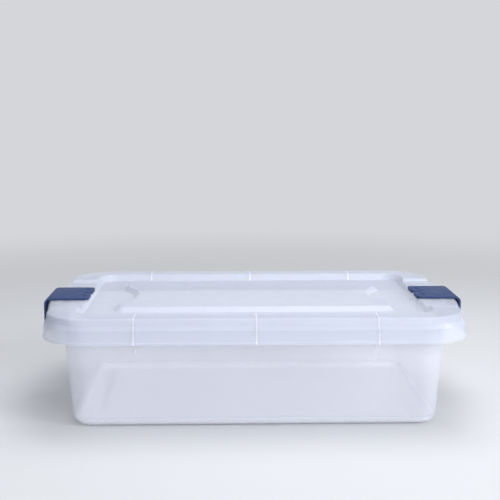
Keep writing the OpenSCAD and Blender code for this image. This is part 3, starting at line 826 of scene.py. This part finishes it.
def lid_rib(box, lid, tub):
    """The rib under the border and down the skirt's inside, drawn for the +Y side: a working object."""
    top = box.height
    centre_y = corner_centre(box)[1]
    half = lid.wall / 2
    recess_y = box.width / 2 - lid.side_border
    slope = lid.recess_run / lid.recess_depth
    across = half * math.hypot(1, slope)
    low = top - lid.saddle_depth - lid.wall
    high = top - half
    edge = centre_y + box.corner - lid.edge_inset - half
    band = top - lid.upper_band - half
    shoulder = band - lid.shoulder
    wide = edge + lid.band_lean
    lip = box.height - lid.skirt + lid.lip + lid.band_lean
    clear = centre_y + box.corner - tub.apron_inset + 0.6 * MM
    outer = centre_y + box.corner - lid.band_lean - half
    outline = [
        (recess_y - slope * (top - low) + across, low),
        (clear, low),
        (clear, lip + outer - clear),
        (outer, lip),
        (wide + lid.shoulder_out, shoulder),
        (wide, band),
        (edge, top - lid.edge_round),
        (edge - 1 * MM, high),
        (recess_y - slope * (top - high) + across, high),
    ]
    return prism(outline, -lid.rib / 2, lid.rib / 2, ALONG_X, "rib", edge=0.25 * MM)


def make_lid(settings):
    """The lid: a lofted skin with its thickness, ribs inside the skirt, nubs and gate marks."""
    box, lid, latch = settings.box, settings.lid, settings.latch
    material = plastic("milky_lid_plastic", settings.colours.lid, drift=0.05, gloss=(0.28, 0.38),
                       ripple=16.0, depth=0.0003, milky=0.40, marks={
                           "Spacing": box.rib_x, "Half Width": lid.rib / 4,
                           "From Y": box.width / 2 - lid.side_border - lid.recess_run},
                       Specular_IOR_Level=0.25, IOR=1.49)
    bm = bmesh.new()
    lines, on_plaque = lid_rows(box, lid)
    rows = [[bm.verts.new(p) for p in line] for line in lines]
    bm.faces.new(rows[0])
    for k in range(1, len(rows)):
        if k == on_plaque:
            continue
        inner, outer = rows[k - 1], rows[k]
        for i in range(len(inner)):
            bm.faces.new((inner[i - 1], outer[i - 1], outer[i], inner[i]))
    # The recess floor, between the plaque and the recess wall, is filled with triangles.
    floor_edges = [bm.edges.get((row[i - 1], row[i]))
                   for row in rows[on_plaque - 1:on_plaque + 1] for i in range(len(row))]
    bmesh.ops.triangle_fill(bm, use_beauty=True, edges=floor_edges)
    bmesh.ops.recalc_face_normals(bm, faces=bm.faces)
    if rows[0][0].link_faces[0].normal.z < 0:
        bmesh.ops.reverse_faces(bm, faces=bm.faces)
    skin = maker(bm, "lid skin")
    solid = skin.modifiers.new("thickness", "SOLIDIFY")
    solid.thickness = lid.wall
    solid.offset = -1
    solid.use_even_offset = True
    solid.use_quality_normals = True

    spots = [(x, 0, turn) for turn in (0, math.pi) for x in (-box.rib_x, 0, box.rib_x)]
    ribs = webs(lid_rib(box, lid, settings.tub), spots, material, "lid ribs")

    saddle = box.height - lid.saddle_depth
    slope = lid.recess_run / lid.recess_depth
    room = 1 * MM
    half = latch.finger_gap / 2 - room
    near = box.length / 2 - lid.end_border - slope * lid.saddle_depth + room
    far = latch.tip_x + latch.finger_depth - room
    soft = 0.8 * MM
    outline = rounded_line(
        [(near, -half, soft), (far, -half, half), (far, half, half), (near, half, soft)],
        8, closed=True)
    nub = prism(outline, saddle - lid.wall / 2, saddle + 2.2 * MM, UPRIGHT, "nub", edge=0.5 * MM)
    other = turned_copy(nub, "left nub")
    plaque = box.height - lid.recess_depth + lid.plaque_height
    gates = []
    for side in (-1, 1):
        outline = circle(side * lid.gate_x, 0, 2.2 * MM, 32)
        gates.append(prism(outline, plaque - lid.wall / 2, plaque + 0.6 * MM, UPRIGHT,
                           "gate mark", edge=0.25 * MM))
    whole = fuse(skin, [ribs, nub, other, *gates])
    finished(whole, "lid_moulding", "lid", material)


def latch_slab(box, lid, latch):
    """The latch's plate, bend and arm, cut flat with rounded edges and then bent: a working object."""
    plate_z = box.height - lid.saddle_depth + latch.plate_gap
    arm_x = LATCH_HIGH.x
    bend_x = arm_x - latch.bend
    inner = latch.bend - latch.wall
    middle = inner + latch.wall / 2
    flat = bend_x - latch.tip_x
    curve = middle * math.pi / 2
    bend_z = plate_z + latch.wall - latch.bend
    window = flat + curve + bend_z - (PIN_Z + 6.3 * MM)
    end = flat + curve + bend_z - PIN_Z
    soft = 1.2 * MM
    gap = latch.finger_gap / 2
    wide = latch.width / 2
    side = [
        (latch.finger_depth, gap, gap),
        (0, gap, latch.finger_round),
        (0, wide, latch.finger_round),
        (window, wide, 1.5 * MM),
        (window, latch.barrel_out, soft),
        (end, latch.barrel_out, soft),
        (end, latch.barrel_in, soft),
        (window, latch.barrel_in, soft),
    ]
    outline = [(u, -v, r) for u, v, r in side] + side[::-1]
    outline = rounded_line(outline, 6, closed=True)
    edge = latch.edge_round
    turns = [math.pi / 2 * k / EDGE_STEPS for k in range(EDGE_STEPS + 1)]
    steps = [(edge * (1 - math.sin(a)), edge * (1 - math.cos(a))) for a in turns]
    steps += [(inset, latch.wall - up) for inset, up in reversed(steps)]
    bm = bmesh.new()
    rows = []
    for inset, up in steps:
        rows.append([bm.verts.new((p.x, p.y, up)) for p in inset_loop(outline, inset)])
    bm.faces.new(reversed(rows[0]))
    bm.faces.new(rows[-1])
    for low, high in zip(rows, rows[1:]):
        for i in range(len(low)):
            bm.faces.new((low[i - 1], low[i], high[i], high[i - 1]))
    for k in range(BEND_STEPS + 1):
        bmesh.ops.bisect_plane(bm, geom=[*bm.verts, *bm.edges, *bm.faces], dist=ON_PLANE,
                               plane_co=(flat + curve * k / BEND_STEPS, 0, 0), plane_no=(1, 0, 0))
    for vert in bm.verts:
        u, v, w = vert.co
        if u <= flat:
            vert.co = (latch.tip_x + u, v, plate_z + w)
        elif u <= flat + curve:
            angle = (u - flat) / middle
            radius = inner + w
            vert.co = (bend_x + radius * math.sin(angle), v, bend_z + radius * math.cos(angle))
        else:
            vert.co = (bend_x + inner + w, v, bend_z - (u - flat - curve))
    bmesh.ops.recalc_face_normals(bm, faces=bm.faces)
    return maker(bm, "latch plate")


def dimple_ball(latch, x, y, top):
    """The long ball that scoops a dimple: a working object."""
    bm = bmesh.new()
    bmesh.ops.create_uvsphere(bm, u_segments=64, v_segments=48, radius=latch.dimple)
    for vert in bm.verts:
        if abs(vert.co.y) > ON_PLANE:
            vert.co.y += math.copysign(latch.dimple_length / 2, vert.co.y)
    bmesh.ops.translate(bm, verts=bm.verts, vec=(x, y, top + latch.dimple - latch.dimple_depth))
    return maker(bm, "dimple")


def make_latches(settings):
    """Both latches: bent plate with two fingers, dimples, catch beads and slotted barrels."""
    box, lid, latch = settings.box, settings.lid, settings.latch
    material = plastic("slate_latch_plastic", settings.colours.latch, drift=0.10, gloss=(0.42, 0.52),
                       ripple=40.0, depth=0.0001, Specular_IOR_Level=0.06, IOR=1.4)
    plate_z = box.height - lid.saddle_depth + latch.plate_gap
    plate_middle = plate_z + latch.wall / 2
    plate_top = plate_z + latch.wall
    finger = latch.width / 2 - latch.finger_gap / 2
    finger_y = latch.finger_gap / 2 + finger / 2
    bead_near = latch.tip_x + 0.05 * MM
    bead_far = latch.tip_x + 1.45 * MM
    bead_low = plate_z - 1.2 * MM
    bead_half = finger / 2 - latch.finger_round
    soft = 0.5 * MM
    bead = rounded_line([
        (bead_near, bead_low, soft), (bead_far, bead_low, soft),
        (bead_far, plate_middle, 0), (bead_near, plate_middle, 0)], closed=True)
    barrel = circle(PIN_X, PIN_Z, latch.barrel, 64)
    dimple_x = latch.tip_x + latch.finger_depth - latch.dimple / 2
    adds = []
    cuts = []
    for side in (-1, 1):
        near, far = sorted((side * latch.barrel_in, side * latch.barrel_out))
        adds.append(prism(barrel, near, far, ALONG_Y, "barrel", edge=0.4 * MM))
        adds.append(prism(bead, side * finger_y - bead_half, side * finger_y + bead_half, ALONG_Y,
                          "bead", edge=0.2 * MM))
        cuts.append(dimple_ball(latch, dimple_x, side * finger_y, plate_top))
    half = latch.width / 2 + 1 * MM
    slot = latch.slot / 2
    slot_low = PIN_Z - 7 * MM
    cuts.append(prism(circle(PIN_X, PIN_Z, latch.bore), -half, half, ALONG_Y, "bore"))
    cuts.append(prism([
        (PIN_X - slot, slot_low), (PIN_X + slot, slot_low),
        (PIN_X + slot, PIN_Z), (PIN_X - slot, PIN_Z),
    ], -half, half, ALONG_Y, "slot"))
    right = fuse(latch_slab(box, lid, latch), adds)
    right = fuse(right, cuts, "DIFFERENCE")
    left = turned_copy(right, "left latch")
    finished(right, "right_latch_moulding", "right_latch", material)
    finished(left, "left_latch_moulding", "left_latch", material)


def glow_rays(tree):
    """A mask that is 1 for rays that look straight, by reflection or through the plastic."""
    rays = place(tree, "ShaderNodeLightPath").outputs
    mask = maths(tree, "ADD", rays["Is Camera Ray"], rays["Is Glossy Ray"])
    return maths(tree, "ADD", mask, rays["Is Transmission Ray"], use_clamp=True)


def floor_material(colours):
    """A pale matt floor that fades into the backdrop far from the box."""
    material = bpy.data.materials.new("studio_floor")
    material.use_nodes = True
    tree = material.node_tree
    principled = tree.nodes["Principled BSDF"]
    principled.inputs["Base Color"].default_value = (*colours.floor, 1)
    principled.inputs["Roughness"].default_value = 0.7
    spot = place(tree, "ShaderNodeTexCoord")
    far = place(tree, "ShaderNodeVectorMath", {0: spot.outputs["Object"]}, operation="LENGTH")
    fade = ranged(tree, far.outputs["Value"], *FLOOR_FADE, interpolation_type="SMOOTHSTEP")
    share = maths(tree, "MULTIPLY", fade, glow_rays(tree))
    glow = place(tree, "ShaderNodeEmission", {"Color": (*colours.backdrop, 1), "Strength": 1.0})
    mixed = place(tree, "ShaderNodeMixShader", {
        0: share, 1: principled.outputs[0], 2: glow.outputs[0]})
    tree.links.new(mixed.outputs[0], tree.nodes["Material Output"].inputs["Surface"])
    return material


def lamp(name, spot, wide, tall, power):
    """A large soft lamp at a spot, aimed at the box."""
    data = bpy.data.lights.new(name, "AREA")
    data.shape = "RECTANGLE"
    data.size = wide
    data.size_y = tall
    data.energy = power
    made = linked(name, data)
    made.location = spot
    made.rotation_euler = (LAMP_AIM - Vector(spot)).to_track_quat("-Z", "Y").to_euler()


def make_stage(settings):
    """Floor, backdrop, soft lamps and the camera."""
    scene = bpy.context.scene
    colours = settings.colours
    bm = bmesh.new()
    bmesh.ops.create_circle(bm, cap_ends=True, segments=96, radius=8)
    floor = maker(bm, "studio_floor")
    floor.data.materials.append(floor_material(colours))

    world = bpy.data.worlds.new("studio")
    world.use_nodes = True
    tree = world.node_tree
    ground = tree.nodes["Background"]
    ground.inputs["Color"].default_value = (0.93, 0.95, 1.0, 1)
    ground.inputs["Strength"].default_value = 0.42
    seen = place(tree, "ShaderNodeBackground", {"Color": (*colours.backdrop, 1), "Strength": 1.0})
    mixed = place(tree, "ShaderNodeMixShader", {
        0: glow_rays(tree), 1: ground.outputs[0], 2: seen.outputs[0]})
    tree.links.new(mixed.outputs[0], tree.nodes["World Output"].inputs["Surface"])
    scene.world = world

    lamp("top lamp", (0.2, 0.1, 1.6), 1.4, 0.9, 19)
    lamp("right lamp", (2.4, -1.7, 1.3), 1.4, 1.4, 72)
    lamp("left lamp", (-1.7, -0.7, 0.9), 0.9, 0.9, 6)
    lamp("front lamp", (1.1, -3.6, 1.3), 2.3, 1.7, 74)

    data = bpy.data.cameras.new("camera")
    data.lens = 75.02
    data.sensor_width = 36
    camera = linked("camera", data)
    camera.location = (-0.04333, -1.58501, 0.45537)
    camera.rotation_euler = (math.pi / 2 - 0.14185, 0, -0.02477)
    scene.camera = camera
    scene.view_settings.view_transform = "Standard"


class STORAGEBOX_OT_tub(Operator):
    """Make the tub"""

    bl_idname = "storagebox.tub"
    bl_label = "Make Tub"

    def execute(self, context):
        make_tub(context.scene.storage_box)
        return {"FINISHED"}


class STORAGEBOX_OT_lid(Operator):
    """Make the lid"""

    bl_idname = "storagebox.lid"
    bl_label = "Make Lid"

    def execute(self, context):
        make_lid(context.scene.storage_box)
        return {"FINISHED"}


class STORAGEBOX_OT_latches(Operator):
    """Make both latches"""

    bl_idname = "storagebox.latches"
    bl_label = "Make Latches"

    def execute(self, context):
        make_latches(context.scene.storage_box)
        return {"FINISHED"}


class STORAGEBOX_OT_stage(Operator):
    """Make the floor, the lamps and the camera"""

    bl_idname = "storagebox.stage"
    bl_label = "Make Stage"

    def execute(self, context):
        make_stage(context.scene.storage_box)
        return {"FINISHED"}


class STORAGEBOX_PT_panel(Panel):
    """Sizes, colours and steps of the storage box"""

    bl_idname = "STORAGEBOX_PT_panel"
    bl_label = "Storage Box"
    bl_space_type = "VIEW_3D"
    bl_region_type = "UI"
    bl_category = "Storage Box"

    def draw(self, context):
        settings = context.scene.storage_box
        for group in (settings.box, settings.tub, settings.lid, settings.latch, settings.colours):
            column = self.layout.column(align=True)
            for name in group.__annotations__:
                column.prop(group, name)
        for step in STEPS:
            self.layout.operator(step.bl_idname)


GROUPS = (BoxSizes, TubSizes, LidSizes, LatchSizes, BoxColours, StorageBox)
STEPS = (STORAGEBOX_OT_tub, STORAGEBOX_OT_lid, STORAGEBOX_OT_latches, STORAGEBOX_OT_stage)


def register():
    for each in (*GROUPS, *STEPS, STORAGEBOX_PT_panel):
        bpy.utils.register_class(each)
    bpy.types.Scene.storage_box = PointerProperty(type=StorageBox)


def unregister():
    del bpy.types.Scene.storage_box
    for each in reversed((*GROUPS, *STEPS, STORAGEBOX_PT_panel)):
        bpy.utils.unregister_class(each)


def main():
    register()
    bpy.ops.storagebox.tub()
    bpy.ops.storagebox.lid()
    bpy.ops.storagebox.latches()
    bpy.ops.storagebox.stage()


if __name__ == "__main__":
    main()
